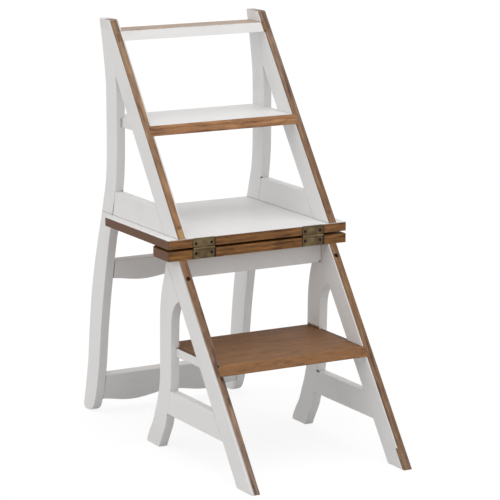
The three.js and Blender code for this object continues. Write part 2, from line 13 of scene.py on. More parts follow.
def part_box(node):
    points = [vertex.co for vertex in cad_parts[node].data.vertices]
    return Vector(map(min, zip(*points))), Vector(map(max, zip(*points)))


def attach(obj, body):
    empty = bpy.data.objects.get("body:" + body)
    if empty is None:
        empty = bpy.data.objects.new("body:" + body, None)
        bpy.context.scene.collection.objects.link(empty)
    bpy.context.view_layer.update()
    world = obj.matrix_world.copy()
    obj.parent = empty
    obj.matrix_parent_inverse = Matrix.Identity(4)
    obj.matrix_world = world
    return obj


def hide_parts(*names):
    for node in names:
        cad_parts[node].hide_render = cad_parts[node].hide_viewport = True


bl_info = {
    "name": "Folding Step Stool Chair",
    "version": (1, 0, 0),
    "blender": (4, 5, 0),
    "location": "View3D > Sidebar > Step Stool",
    "description": "Paints, stains and fits out the folding step stool chair",
    "category": "Object",
}

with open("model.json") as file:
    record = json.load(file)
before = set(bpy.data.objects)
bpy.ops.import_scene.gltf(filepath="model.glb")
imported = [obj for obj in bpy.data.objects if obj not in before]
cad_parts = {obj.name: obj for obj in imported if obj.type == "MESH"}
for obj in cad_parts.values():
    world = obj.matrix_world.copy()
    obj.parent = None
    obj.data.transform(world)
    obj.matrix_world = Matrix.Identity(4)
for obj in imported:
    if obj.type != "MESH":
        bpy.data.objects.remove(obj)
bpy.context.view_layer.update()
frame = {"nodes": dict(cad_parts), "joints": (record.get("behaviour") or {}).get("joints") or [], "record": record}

SIDES = (("left", -1), ("right", 1))
BODY_OF = {
    node: body for body, nodes in frame["record"]["behaviour"]["bodies"].items() for node in nodes
}

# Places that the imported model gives: the hinge line, the stringers' slope and the boards' faces
HINGE = Vector(frame["joints"][0]["pos_m"])
FRONT_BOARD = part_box("front_seat_board")
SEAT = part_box("seat_board")
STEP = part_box("base_step")
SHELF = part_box("shelf")
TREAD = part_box("top_tread")
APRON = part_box("base_apron")
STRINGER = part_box("base_stringer_right")
INNER_X, OUTER_X = STRINGER[0].x, STRINGER[1].x
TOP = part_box("back_post_left")[1].z
UPPER_RAIL_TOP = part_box("upper_side_rail_right")[1].z
LOWER_RAIL_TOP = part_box("base_side_rail_right")[1].z
SLOPE = (FRONT_BOARD[0].y - STRINGER[0].y) / FRONT_BOARD[0].z
UP_SLOPE = Vector((0, SLOPE, 1)).normalized()
FRONT_NORMAL = Vector((0, 1, -SLOPE)).normalized()
LOWER_FRONT = Vector((0, FRONT_BOARD[0].y, FRONT_BOARD[0].z))
UPPER_FRONT = Vector((0, SEAT[0].y, SEAT[1].z))


def points_of(node):
    return [v.co for v in frame["nodes"][node].data.vertices]


def near_edge_at(node, height, close=0.012):
    """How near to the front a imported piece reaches, close to a height."""
    return min(p.y for p in points_of(node) if abs(p.z - height) < close)


POST_AT_SEAT = near_edge_at("back_post_right", SEAT[1].z)
POST_AT_RAIL = near_edge_at("back_post_right", UPPER_RAIL_TOP)
POST_AT_SHELF = near_edge_at("back_post_right", SHELF[1].z)
POST_AT_TOP = near_edge_at("back_post_right", TOP)
LEG_AT_RAIL = near_edge_at("base_leg_right", LOWER_RAIL_TOP)
LEG_AT_STEP = near_edge_at("base_leg_left", STEP[1].z)


# Settings


def number_prop(title, description, default, lowest, highest, **kind):
    return bpy.props.FloatProperty(
        name=title, description=description, default=default, min=lowest, max=highest, **kind
    )


def length_prop(title, description, default, lowest, highest):
    return number_prop(title, description, default, lowest, highest, unit="LENGTH")


def factor_prop(title, description, default):
    return number_prop(title, description, default, 0, 1, subtype="FACTOR")


def angle_prop(title, description, degrees):
    turn = math.radians(degrees)
    return number_prop(title, description, turn, -math.pi, math.pi, subtype="ANGLE")


def colour_prop(title, description, default, highest=1):
    return bpy.props.FloatVectorProperty(
        name=title, description=description, default=default, subtype="COLOR", min=0, max=highest
    )


def tint_prop(title, place, default):
    return colour_prop(title, f"What the common stain is multiplied by on {place}", default, 2)


class StoolPaint(bpy.types.PropertyGroup):
    """The white paint on the frames, the shelf and the seat's top."""

    colour: colour_prop("Paint", "The white paint", (0.83, 0.82, 0.81))
    rubbed: colour_prop("Rubbed paint", "Paint that hands have left duller", (0.72, 0.705, 0.69))
    thin: colour_prop("Thin paint", "Paint that thins out over stain", (0.46, 0.375, 0.33))
    # Besides the joint lines, this colour lays painted shadow along the frames' feet on the seat boards, beside
    # the shelf's ends and at the rails' ends.
    joint_line_and_shadow: colour_prop("Joint line", "Fine lines where painted pieces meet", (0.2, 0.19, 0.18))
    # The tread's front is painted lighter than the other white paint by this factor.
    lightening: number_prop("Fresh paint", "How much brighter the tread's front is", 1.11, 1, 1.2)
    roughness: factor_prop("Roughness", "Roughness of the satin paint", 0.46)
    overlap: length_prop("Overlap", "How far paint runs over the seat's edges", 0.0011, 0, 0.005)
    wrap: length_prop("Wrap", "How far the fronts' stain runs round their edges", 0.0006, 0, 0.005)
    jog_height: length_prop("Jog height", "Up to where one foot's stain is wider", 0.041, 0, 0.2)
    jog_reach: length_prop("Jog reach", "How much wider it is there", 0.0034, 0, 0.01)
    wander: length_prop("Wander", "How far the painted line strays", 0.0007, 0, 0.003)


class StoolStain(bpy.types.PropertyGroup):
    """The brown stained wood of the boards and the stringers' front faces."""

    light: colour_prop("Light grain", "Hard, light bands of the grain", (0.44, 0.225, 0.095))
    middle: colour_prop("Middle grain", "Most of the stained wood", (0.29, 0.142, 0.064))
    dark: colour_prop("Dark grain", "Dark bands and pores of the grain", (0.125, 0.058, 0.028))
    seat_tint: tint_prop("Seat tint", "the seat's edges", (0.86, 0.8, 0.62))
    front_tint: tint_prop("Front board tint", "the front seat board", (0.86, 0.8, 0.56))
    shelf_tint: tint_prop("Shelf tint", "the shelf's edge", (1.24, 1.25, 1.3))
    step_tint: tint_prop("Step tint", "the step", (1.0, 1.0, 0.95))
    top_shade: factor_prop("Step shade", "How dark the step's top is beside its front", 0.8)
    # Painted sheen: the top tread's stain is painted pale in these three colours, in place of its varnish's sheen
    # seen at a grazing angle.
    painted_sheen_light: colour_prop("Worn light grain", "Light bands of the tread", (0.56, 0.46, 0.38))
    painted_sheen: colour_prop("Worn stain", "Most of the worn top tread", (0.45, 0.345, 0.275))
    painted_sheen_dark: colour_prop("Worn dark grain", "Dark bands of the tread", (0.32, 0.22, 0.165))
    end_grain: colour_prop("End grain", "Stain soaked into the boards' ends", (0.14, 0.075, 0.05))
    knot: colour_prop("Knot", "The knot in the left upper stringer", (0.12, 0.075, 0.055))
    pale_patch: colour_prop("Pale patch", "Pale wood at that stringer's foot", (0.62, 0.4, 0.17))
    # This dark colour also lays painted shadow beside the hinge leaves and along the step's ends.
    pit_and_shadow: colour_prop("Pits", "Where stain has gathered in pits and holes", (0.03, 0.017, 0.011))
    ring_width: length_prop("Ring width", "Width of one growth ring", 0.0065, 0.001, 0.03)
    roughness: factor_prop("Roughness", "Roughness of the thin varnish", 0.6)


class StoolMetal(bpy.types.PropertyGroup):
    """The aged brass of the hinges and the dark steel of the screws."""

    brass: colour_prop("Brass", "Brass where it is rubbed", (0.19, 0.136, 0.066))
    patina: colour_prop("Patina", "Brass where it has darkened", (0.115, 0.08, 0.043))
    screw: colour_prop("Screws", "The hinges' screws", (0.032, 0.02, 0.012))
    steel: colour_prop("Steel", "The screws in the frames", (0.04, 0.025, 0.014))
    # Painted highlight: the knuckles' fronts are painted lighter by this factor, in place of the light line along
    # them.
    rubbed: number_prop("Rubbed knuckles", "How much lighter the knuckles are", 1.7, 1, 3)
    roughness: factor_prop("Roughness", "Roughness of the aged brass", 0.48)
    screw_roughness: factor_prop("Screw roughness", "Roughness of the screws", 0.7)


class StoolShape(bpy.types.PropertyGroup):
    """Roundings and small sizes that the finished pieces have."""

    frame_round: length_prop("Frame edges", "Radius of the frames' edges", 0.0013, 0.0001, 0.003)
    board_round: length_prop("Board edges", "Radius of the boards' edges", 0.0011, 0.0001, 0.003)
    leaf_round: length_prop("Leaf edges", "Radius of the leaves' edges", 0.00025, 0.00005, 0.001)
    edge_steps: bpy.props.IntProperty(
        name="Edge steps", description="Facets across each rounded edge", min=1, max=6, default=3
    )
    dome: length_prop("Dome", "How far a screw's head bulges", 0.0003, 0, 0.001)
    slot_width: length_prop("Slot width", "Width of a screw's slot", 0.0008, 0.0002, 0.002)
    slot_depth: length_prop("Slot depth", "Depth of a screw's slot", 0.0007, 0.0002, 0.002)
    pin_head: length_prop("Pin head", "Length of a hinge pin's head", 0.0009, 0.0002, 0.002)
    pin_neck: length_prop("Pin neck", "A pin's radius between its heads", 0.0012, 0.0005, 0.002)


class StoolStage(bpy.types.PropertyGroup):
    """Floor, light and camera."""

    floor: colour_prop("Floor", "Colour of the floor under the light", (0.62, 0.62, 0.62))
    floor_share: factor_prop("Shadow share", "How much the light adds to the floor as seen", 0.2)
    floor_glow: factor_prop("Floor glow", "How bright the floor is seen without light", 0.835)
    world: number_prop("World light", "Strength of the even light from all round", 0.6, 0, 2)
    side: number_prop("Side light", "Strength of the soft light from the left", 0.42, 0, 10)
    top: number_prop("Top light", "Strength of the soft light from above", 1.05, 0, 10)
    camera_place: bpy.props.FloatVectorProperty(
        name="Camera",
        description="Where the camera stands",
        default=(-2.67327, -4.71141, 1.56912),
        subtype="TRANSLATION",
        unit="LENGTH",
    )
    heading: angle_prop("Heading", "How far the camera turns to the right", 29.9338)
    pitch: angle_prop("Pitch", "How far the camera looks down", 12.2285)
    roll: angle_prop("Roll", "How far the camera leans", 0.3253)
    lens: number_prop("Lens", "The lens's focal length in millimetres", 185.017, 10, 500)
    shift: bpy.props.FloatVectorProperty(
        name="Shift",
        description="Shift of the lens, as shares of the picture's width",
        default=(-0.0159, 0.0211),
        size=2,
    )


class StoolSettings(bpy.types.PropertyGroup):
    """All sizes and colours of the step stool's finish."""

    paint: bpy.props.PointerProperty(type=StoolPaint)
    stain: bpy.props.PointerProperty(type=StoolStain)
    metal: bpy.props.PointerProperty(type=StoolMetal)
    shape: bpy.props.PointerProperty(type=StoolShape)
    stage: bpy.props.PointerProperty(type=StoolStage)


def settings():
    return bpy.context.scene.step_stool


# Node trees


def feed(node, inputs):
    """Feeds a node's inputs with sockets or constants."""
    for name, value in inputs.items():
        if isinstance(value, bpy.types.NodeSocket):
            node.id_data.links.new(value, node.inputs[name])
        else:
            node.inputs[name].default_value = value
    return node


def add(kind, inputs, tree=None, **values):
    """Adds a shader node to the tree that its inputs come from, or to a given one, sets its
    values and feeds its inputs."""
    sockets = [value for value in inputs.values() if isinstance(value, bpy.types.NodeSocket)]
    made = (tree or sockets[0].id_data).nodes.new(f"ShaderNode{kind}")
    for name, value in values.items():
        setattr(made, name, value)
    return feed(made, inputs)


def calc(operation, a, b=0.0):
    return add("Math", {0: a, 1: b}, operation=operation).outputs[0]


def times(a, b):
    return calc("MULTIPLY", a, b)


def minus(a, b):
    return calc("SUBTRACT", a, b)


def vector_calc(operation, a, b):
    made = add("VectorMath", {0: a, 1: b}, operation=operation)
    return made.outputs["Value" if operation == "DOT_PRODUCT" else "Vector"]


def stretch(vector, scales, turn=(0, 0, 0), move=(0, 0, 0)):
    """A pattern's coordinates scaled, turned and moved."""
    inputs = {"Vector": vector, "Scale": scales, "Rotation": turn, "Location": move}
    return add("Mapping", inputs, vector_type="POINT").outputs[0]


def noise(vector, scales, detail, roughness=0.5):
    """A noise from 0 to 1, as fine along each axis as its scale."""
    inputs = {"Vector": stretch(vector, scales), "Scale": 1, "Detail": detail, "Roughness": roughness}
    return add("TexNoise", inputs).outputs["Fac"]


def swing(pattern, width):
    """A noise spread about 0, over a width."""
    return times(minus(pattern, 0.5), width)


def between(value, low, high, to_low=0.0, to_high=1.0):
    """A smooth step of a value from low to high."""
    inputs = {"Value": value, "From Min": low, "From Max": high, "To Min": to_low, "To Max": to_high}
    return add("MapRange", inputs, interpolation_type="SMOOTHSTEP").outputs["Result"]


def mapped(share, first, second):
    """A number that goes from the first to the second as a share goes from 0 to 1."""
    inputs = {"Value": share, "To Min": first, "To Max": second}
    return add("MapRange", inputs).outputs["Result"]


def above(value, limit, soft):
    """1 above a limit and 0 below it, with a change that is soft to either side."""
    return between(value, limit - soft, limit + soft)


def below(value, limit, soft):
    """1 below a limit and 0 above it, with a change that is soft to either side."""
    return between(value, limit + soft, limit - soft)


def all_of(*masks):
    return reduce(lambda first, second: calc("MINIMUM", first, second), masks)


def any_of(*masks):
    return reduce(lambda first, second: calc("MAXIMUM", first, second), masks)


def opposite(mask):
    return minus(1.0, mask)


def blend(share, first, second, mode="MIX"):
    inputs = {0: share, 6: first, 7: second}
    return add("Mix", inputs, data_type="RGBA", blend_type=mode).outputs[2]


def rgba(colour):
    return (*colour, 1.0)


def grey(level):
    return (level, level, level, 1.0)


def over(colour, mask, top, strength=1.0):
    """Lays a plain colour over another one where the mask says."""
    return blend(times(mask, strength), colour, rgba(top))


def marked(colour, marks):
    """Lays marks over a colour. Each is a mask with its own colour and strength."""
    for mask, tint, strength in marks:
        colour = over(colour, mask, tint, strength)
    return colour


def shaded(colour, mask, factor):
    """Multiplies a colour where the mask says."""
    return blend(mask, colour, grey(factor), mode="MULTIPLY")


# Patterns that more than one material uses


COLOUR_AND_HEIGHT = {"Color": "Color", "Height": "Float"}


def new_group(name, outputs, **inputs):
    """A shader node group: the coordinates and the inputs that it is given, and its output node."""
    tree = bpy.data.node_groups.new(name, "ShaderNodeTree")
    for direction, sockets in (("INPUT", {"Vector": "Vector", **inputs}), ("OUTPUT", outputs)):
        for label, kind in sockets.items():
            tree.interface.new_socket(label, in_out=direction, socket_type=f"NodeSocket{kind}")
    given = tree.nodes.new("NodeGroupInput").outputs
    return given["Vector"], given, tree.nodes.new("NodeGroupOutput")


def use_group(name, here, **inputs):
    group = bpy.data.node_groups[name]
    return add("Group", {"Vector": here, **inputs}, node_tree=group).outputs


def build_grain_group():
    """Stained wood as a solid: growth rings round the X axis, long streaks, fibres and pores."""
    tones = {"Light": "Color", "Middle": "Color", "Dark": "Color"}
    inputs = {**tones, "Density": "Float", "Contrast": "Float"}
    here, given, out = new_group("Stained grain", COLOUR_AND_HEIGHT, **inputs)
    sway = swing(noise(here, (2.2, 16, 16), 2), 0.02)
    lean = add("CombineXYZ", {"Y": sway, "Z": sway}).outputs[0]
    bent = vector_calc("ADD", here, lean)
    inputs = {"Vector": bent, "Scale": given["Density"], "Distortion": 2.4, "Detail": 2.0}
    inputs |= {"Detail Scale": 0.6, "Detail Roughness": 0.6}
    wave = add("TexWave", inputs, wave_type="RINGS", rings_direction="X")
    rings = wave.outputs["Fac"]
    patches = noise(here, (8, 26, 26), 3, 0.55)
    streaks = noise(bent, (22, 130, 130), 3, 0.55)
    fibres = noise(bent, (32, 380, 380), 4, 0.6)
    pores = between(noise(here, (50, 650, 650), 1), 0.58, 0.7)
    layers = ((rings, 0.12), (patches, 0.5), (streaks, 0.55), (fibres, 0.45))
    # Each layer averages a half, and the contrast spreads the tone about their common average.
    tone = -sum(weight for _, weight in layers) / 2
    for layer, weight in layers:
        tone = calc("ADD", times(layer, weight), tone)
    tone = times(tone, given["Contrast"])
    colour = blend(between(tone, -0.2, 0.0), given["Dark"], given["Middle"])
    colour = blend(between(tone, 0.0, 0.2), colour, given["Light"])
    colour = blend(times(pores, 0.4), colour, given["Dark"])
    height = minus(times(fibres, 0.6), pores)
    feed(out, {"Color": colour, "Height": height})


def build_paint_group():
    """Brushed satin paint: faint brush marks, duller patches and a few tiny specks."""
    inputs = {"Paint": "Color", "Rubbed": "Color"}
    here, given, out = new_group("Brushed paint", COLOUR_AND_HEIGHT, **inputs)
    patches = noise(here, (9, 9, 9), 4, 0.6)
    brush = noise(here, (18, 420, 420), 3)
    specks = noise(here, (160, 160, 160), 1)
    colour = given["Paint"]
    for pattern, start, full, share in (
        (patches, 0.45, 0.8, 0.4),
        (brush, 0.5, 0.75, 0.12),
        (specks, 0.74, 0.8, 0.3),
    ):
        colour = blend(between(pattern, start, full, 0, share), colour, given["Rubbed"])
    feed(out, {"Color": colour, "Height": brush})


def build_depth_group():
    """How far a point lies behind a plane, in metres, with the line let stray a little."""
    inputs = {"Point": "Vector", "Inward": "Vector", "Wander": "Float"}
    here, given, out = new_group("Depth behind face", {"Depth": "Float"}, **inputs)
    away = vector_calc("SUBTRACT", here, given["Point"])
    depth = vector_calc("DOT_PRODUCT", away, given["Inward"])
    ragged = noise(here, (70, 70, 70), 3, 0.65)
    stray = swing(ragged, times(given["Wander"], 2.0))
    feed(out, {"Depth": calc("ADD", depth, stray)})


def build_mark_group():
    """A ragged round mark, drawn out along a direction: 1 inside its radius and 0 outside."""
    inputs = {"Point": "Vector", "Along": "Vector", "Flatten": "Float", "Radius": "Float"}
    here, given, out = new_group("Mark", {"Mask": "Float"}, **inputs)
    away = vector_calc("SUBTRACT", here, given["Point"])
    lengthwise = vector_calc("DOT_PRODUCT", away, given["Along"])
    share = times(lengthwise, given["Flatten"])
    drawn = add("VectorMath", {0: given["Along"], "Scale": share}, operation="SCALE")
    aside = vector_calc("SUBTRACT", away, drawn.outputs["Vector"])
    distance = add("VectorMath", {0: aside}, operation="LENGTH").outputs["Value"]
    ragged = swing(noise(here, (300, 300, 300), 2), 0.6)
    reach = calc("ADD", calc("DIVIDE", distance, given["Radius"]), ragged)
    feed(out, {"Mask": between(reach, 1.15, 0.8)})


def build_patina_group():
    """Aged brass: dark patina in clouds, rubbed through in places, with fine scratches."""
    outputs = {**COLOUR_AND_HEIGHT, "Rubbed": "Float"}
    here, given, out = new_group("Patina", outputs, Metal="Color", Patina="Color")
    clouds = noise(here, (60, 90, 90), 3)
    scratches = noise(here, (120, 2500, 2500), 2)
    rubbed = between(calc("ADD", clouds, times(scratches, 0.2)), 0.45, 0.85)
    colour = blend(rubbed, given["Patina"], given["Metal"])
    height = calc("ADD", clouds, scratches)
    feed(out, {"Color": colour, "Rubbed": rubbed, "Height": height})


# Masks: every limit and softness is in metres

# How far behind a face the finish that lies on it reaches
SKIN = 0.0006
# Shares of the painted line's wander along a planed edge and along a brushed lap
EDGE_WANDER = 0.4
LAP_WANDER = 0.6


def axis(here, letter):
    return add("SeparateXYZ", {0: here}).outputs[letter]


def aside(here):
    """How far a point lies from the middle plane."""
    return calc("ABSOLUTE", axis(here, "X"))


def beyond(here, distance, soft):
    """1 further from the middle plane than a distance, 0 nearer to it."""
    return above(aside(here), distance, soft)


def depth_behind(here, point, inward, wander=0.0):
    place = {"Point": tuple(point), "Inward": tuple(inward)}
    return use_group("Depth behind face", here, **place, Wander=wander)["Depth"]


def near_face(here, point, inward, reach, wander=0.0, soft=0.0004):
    """1 where a point lies less than reach behind a face, 0 further in."""
    return below(depth_behind(here, point, inward, wander), reach, soft)


def under_top(here, height, reach=SKIN, wander=0.0, soft=0.0004):
    """1 less than reach below a level top face, 0 further down."""
    return near_face(here, (0, 0, height), (0, 0, -1), reach, wander, soft)


def stained_face(depth):
    """1 on a stained face, up to where its stain ends behind the face's edges."""
    return below(depth, settings().paint.wrap, 0.0002)


def mark(here, point, radius, along=(0, 0, 1), flatten=0.0):
    """1 within a radius of a point. It is drawn out along a direction, endlessly at flatten 1."""
    place = {"Point": tuple(point), "Along": tuple(along)}
    return use_group("Mark", here, **place, Flatten=flatten, Radius=radius)["Mask"]


# Materials


def laid_along(direction):
    """The turn of a Mapping node that lays a pattern's X axis along a direction in the YZ plane."""
    lengthwise = Vector(direction).normalized()
    across = Vector((1, 0, 0))
    return tuple(Matrix((lengthwise, across, lengthwise.cross(across))).to_euler("XYZ"))


GRAIN_ACROSS = (0, 0, 0)
GRAIN_DOWN_SLOPE = laid_along(UP_SLOPE)
GRAIN_UPRIGHT = laid_along((0, 0, 1))

# How strong each finish's relief is, and how deep in metres
PAINT_RELIEF = (0.25, 0.0002)
WOOD_RELIEF = (0.35, 0.0003)
BARE_WOOD_RELIEF = (0.3, 0.0003)
TWO_FINISH_RELIEF = (0.3, 0.0003)
METAL_RELIEF = (0.15, 0.0001)

# How strongly each finish shines
PAINT_SHINE = 0.3
WOOD_SHINE = 0.2
BRASS_SHINE = 0.5
SCREW_SHINE = 0.1

# Light, middle and dark grain of the dowels, which have no stain, and their roughness
BARE_WOOD = ((0.72, 0.54, 0.33), (0.6, 0.43, 0.25), (0.45, 0.3, 0.16))
BARE_WOOD_ROUGHNESS = 0.7
# How fast the paint thins out along the line where it meets stain
THINNING = 3.0
# How much darker than the boards the plugs are
PLUG_SHADE = 0.75

# Where white paint laps over the stringers' stained fronts: from which edge, how far at the
# foot and at the head of the piece, and how softly it ends
PAINT_LAPS = {
    "upper_stringer_left": ("inner", 0.0036, 0.0036, 0.0005),
    "upper_stringer_right": ("inner", 0.0012, 0.0012, 0.0005),
    "base_stringer_left": ("outer", 0.0064, 0.0009, 0.0022),
    "base_stringer_right": ("inner", 0.0023, 0.0023, 0.0004),
}
# How each stringer's stain is faded: what the common stain is multiplied by at its foot and head
STRINGER_TINTS = {
    "upper_stringer_left": ((1.06, 1.16, 1.3), (1.24, 1.57, 2.2)),
    "upper_stringer_right": ((0.84, 0.92, 1.1), (1.02, 1.34, 2.05)),
    "base_stringer_left": ((0.95, 1.3, 2.1), (1.0, 1.14, 1.4)),
    "base_stringer_right": ((0.83, 1.03, 1.4), (0.83, 0.9, 1.0)),
}
# How much darker the upper left stringer's front is towards its head
HEAD_DARKENING = 0.68
# How much darker the stain is along the edges of a stringer's front, where the brush turned
EDGE_SHADE = 0.75
# How much darker the step's ends are, where it meets the frames
STEP_END_SHADE = 0.62

# Spots on the upper left stringer's front: place, radius, how drawn out, stain and strength
STRINGER_SPOTS = (
    ((-0.1866, 0.2166, 0.8656), 0.0042, 0.5, "knot", 0.5),
    ((-0.1872, 0.2108, 0.8577), 0.0030, 0.3, "knot", 0.5),
    ((-0.1815, -0.0660, 0.4815), 0.0085, 0.5, "pale_patch", 0.55),
)
# Dark specks where the step's front edge ends in the left stringer: place, radius, how drawn out
STEP_SPECKS = (((-0.1784, -0.2165, 0.2300), 0.0024, 0.4), ((-0.1794, -0.2333, 0.2085), 0.0028, 0.5))
# Radii of the rings round the plugs and of the stained holes and pits round the screws
PLUG_RING = 0.0047
SCREW_HOLE = 0.0062
SCREW_PIT = 0.0052


def start_material(name):
    """Makes a material, and gives its coordinates and the settings of the paint and the stain."""
    material = bpy.data.materials.new(name)
    material.use_nodes = True
    here = material.node_tree.nodes.new("ShaderNodeTexCoord").outputs["Object"]
    return here, settings().paint, settings().stain


def finish_material(name, base, rough, height, relief, shine, metallic=0.0):
    """Feeds the shader, with its constants set on its own sockets."""
    strength, depth = relief
    bump = add("Bump", {"Strength": strength, "Distance": depth, "Height": height})
    inputs = {
        "Base Color": base,
        "Roughness": rough,
        "Metallic": metallic,
        "Specular IOR Level": shine,
        "Normal": bump.outputs[0],
    }
    feed(base.id_data.nodes["Principled BSDF"], inputs)
    return bpy.data.materials[name]


def grain(here, turn, move=(0, 0, 0), contrast=1.0, tones=None, tint=(1, 1, 1), fine=1.0):
    """The stained grain, running along the direction that the turn gives."""
    s = settings().stain
    tones = tones or (s.light, s.middle, s.dark)
    tinted = [rgba(tone * share for tone, share in zip(colour, tint)) for colour in tones]
    inputs = dict(zip(("Light", "Middle", "Dark"), tinted))
    inputs |= {"Density": math.pi / (10 * s.ring_width), "Contrast": contrast}
    return use_group("Stained grain", stretch(here, (fine, fine, fine), turn, move), **inputs)


def brushed(here, turn, lightening=1.0):
    """White paint, whose colour is multiplied by the last argument."""
    p = settings().paint
    paint = rgba(share * lightening for share in p.colour)
    laid = stretch(here, (1, 1, 1), turn)
    return use_group("Brushed paint", laid, Paint=paint, Rubbed=rgba(p.rubbed))


def two_finishes(name, stained, wood_colour, wood_height, paint, marks=()):
    """Paint and stain on one piece: stained is 1 on the stained wood, with thin paint between."""
    p, s = settings().paint, settings().stain
    line = times(times(stained, opposite(stained)), THINNING)
    colour = blend(stained, paint["Color"], wood_colour)
    colour = marked(over(colour, line, p.thin), marks)
    rough = mapped(stained, p.roughness, s.roughness)
    height = mapped(stained, paint["Height"], wood_height)
    return finish_material(name, colour, rough, height, TWO_FINISH_RELIEF, WOOD_SHINE)


def painted_material(name, turn, marks_of):
    """White paint with the marks that a function puts on it."""
    here, p, s = start_material(name)
    paint = brushed(here, turn)
    colour = marked(paint["Color"], marks_of(here, p, s))
    return finish_material(name, colour, p.roughness, paint["Height"], PAINT_RELIEF, PAINT_SHINE)


def board_contact_shadow(here, height, away):
    """Painted shadow: 1 on the dark line on a frame where it meets its seat board."""
    depth = depth_behind(here, (0, 0, height), (0, 0, away), 0.0002)
    return all_of(below(depth, 0.0009, 0.0004), above(depth, -0.0002, 0.0002))


def upper_frame_marks(here, p, s):
    """Painted shadow along the frame's foot on the seat and beside the shelf's ends, fine lines
    where the posts meet the side rails, dark specks on the rails' tops there, and paint that is
    duller above the tread and rubbed off on top."""
    x, y, z = (axis(here, letter) for letter in "XYZ")
    specks = [
        mark(here, (side * INNER_X, POST_AT_RAIL, UPPER_RAIL_TOP), 0.0026, (1, 0, 0), 0.6)
        for _, side in SIDES
    ]
    lean = Vector((0, POST_AT_RAIL - POST_AT_SEAT, UPPER_RAIL_TOP - SEAT[1].z)).normalized()
    behind = (0, lean.z, -lean.y)
    from_post = depth_behind(here, (0, POST_AT_RAIL, UPPER_RAIL_TOP), behind, 0.0003)
    rail_end = all_of(
        below(z, UPPER_RAIL_TOP, 0.0005),
        below(calc("ABSOLUTE", from_post), 0.00085, 0.00045),
    )
    # Painted shadow in the crevice where the shelf's end meets a post's near face.
    shelf_end_shadow = all_of(
        below(aside(here), SHELF[1].x + 0.004, 0.0005),
        below(y, POST_AT_SHELF + 0.0035, 0.0005),
        above(z, SHELF[0].z, 0.001),
        below(z, SHELF[1].z, 0.001),
    )
    near = below(y, POST_AT_TOP + 0.015, 0.007)
    right = all_of(below(y, POST_AT_TOP + 0.03, 0.03), above(x, 0.005, 0.005))
    top = under_top(here, TOP)
    return [
        (board_contact_shadow(here, SEAT[1].z, 1), p.joint_line_and_shadow, 0.8),
        (rail_end, p.joint_line_and_shadow, 0.45),
        (above(z, TREAD[1].z + 0.001, 0.003), p.thin, 0.14),
        (any_of(*specks), s.pit_and_shadow, 0.85),
        (shelf_end_shadow, p.joint_line_and_shadow, 0.45),
        (all_of(top, any_of(near, right)), s.end_grain, 0.8),
    ]


def lower_frame_marks(here, p, s):
    """Painted shadow just under the front seat board, stain that the brush left on the legs' inner
    faces just above the step, and a dark speck where a side rail's top ends."""
    inner = opposite(beyond(here, INNER_X + 0.0006, 0.0003))
    height = depth_behind(here, (0, 0, STEP[1].z), (0, 0, 1), 0.0016)
    lap, line = (
        all_of(inner, below(height, reach, soft), above(height, -0.001, 0.001))
        for reach, soft in ((0.0052, 0.0006), (0.0017, 0.0005))
    )
    speck = mark(here, (INNER_X, LEG_AT_RAIL + 0.001, LOWER_RAIL_TOP), 0.003, (0, 1, 0), 0.6)
    return [
        (board_contact_shadow(here, FRONT_BOARD[0].z, -1), p.joint_line_and_shadow, 0.8),
        (lap, s.middle, 0.85),
        (line, s.pit_and_shadow, 0.8),
        (speck, s.pit_and_shadow, 0.75),
    ]


def rail_end_shadows(here, p, s):
    """Painted shadow: dark lines at both ends of a rail between the frames."""
    return [(beyond(here, INNER_X - 0.0012, 0.0004), p.joint_line_and_shadow, 0.75)]


def apron_marks(here, p, s):
    """The same painted shadow lines, and a dark speck at the lower corner of the apron's right end."""
    place = (INNER_X - 0.004, APRON[0].y, APRON[0].z + 0.0015)
    return [*rail_end_shadows(here, p, s), (mark(here, place, 0.0024), s.pit_and_shadow, 0.85)]


def step_specks(here):
    """1 on the dark specks where the step's front edge ends in the left stringer."""
    return any_of(*(mark(here, at, radius, UP_SLOPE, flat) for at, radius, flat in STEP_SPECKS))


def paint_lap(here, node, side):
    """1 where white paint laps over a stained front from one of its edges."""
    edge, foot, head, soft = PAINT_LAPS[node]
    start, inward = (OUTER_X, -side) if edge == "outer" else (INNER_X, side)
    wander = settings().paint.wander * LAP_WANDER
    depth = depth_behind(here, (side * start, 0, 0), (inward, 0, 0), wander)
    low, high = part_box(node)
    reach = between(axis(here, "Z"), low.z, high.z, foot, head)
    return below(minus(depth, reach), 0.0, soft)


def upper_stringer_stain(here, p, s, label, depth, unpainted):
    """Where an upper stringer is stained, on its front and its top, and the marks on it."""
    front = all_of(stained_face(depth), unpainted)
    top = under_top(here, TOP, p.wrap, p.wander * EDGE_WANDER, 0.0002)
    low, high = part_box(f"upper_stringer_plug_{label}")
    ring = mark(here, (low + high) / 2, PLUG_RING, FRONT_NORMAL, 1.0)
    # Painted shadow: a dark line along the stringer's foot, where it stands on the seat.
    joint_line_and_shadow = near_face(here, UPPER_FRONT, (0, 0, 1), 0.0009, soft=0.0002)
    marks = [(joint_line_and_shadow, p.joint_line_and_shadow, 0.8), (ring, s.dark, 0.45)]
    if label == "left":
        for place, radius, flatten, stain, strength in STRINGER_SPOTS:
            spot = all_of(front, mark(here, place, radius, UP_SLOPE, flatten))
            marks.append((spot, getattr(s, stain), strength))
    return any_of(front, top), marks


def lower_stringer_stain(here, p, s, label, depth, unpainted):
    """Where a lower stringer is stained, on its front and round its screw, and the marks on it."""
    if label == "right":
        # Close to the floor this one's stain runs further round the edges, and ends in a jog.
        low = below(axis(here, "Z"), p.jog_height, 0.0008)
        depth = minus(depth, times(low, p.jog_reach))
        unpainted = any_of(unpainted, low)
    front = all_of(stained_face(depth), unpainted)
    at, _, _ = head_of(f"base_stringer_screw_{label}", FRONT_NORMAL)
    hole, pit_and_shadow = (mark(here, at, radius, FRONT_NORMAL, 1.0) for radius in (SCREW_HOLE, SCREW_PIT))
    return any_of(front, hole), [(pit_and_shadow, s.pit_and_shadow, 0.9), (step_specks(here), s.pit_and_shadow, 0.85)]


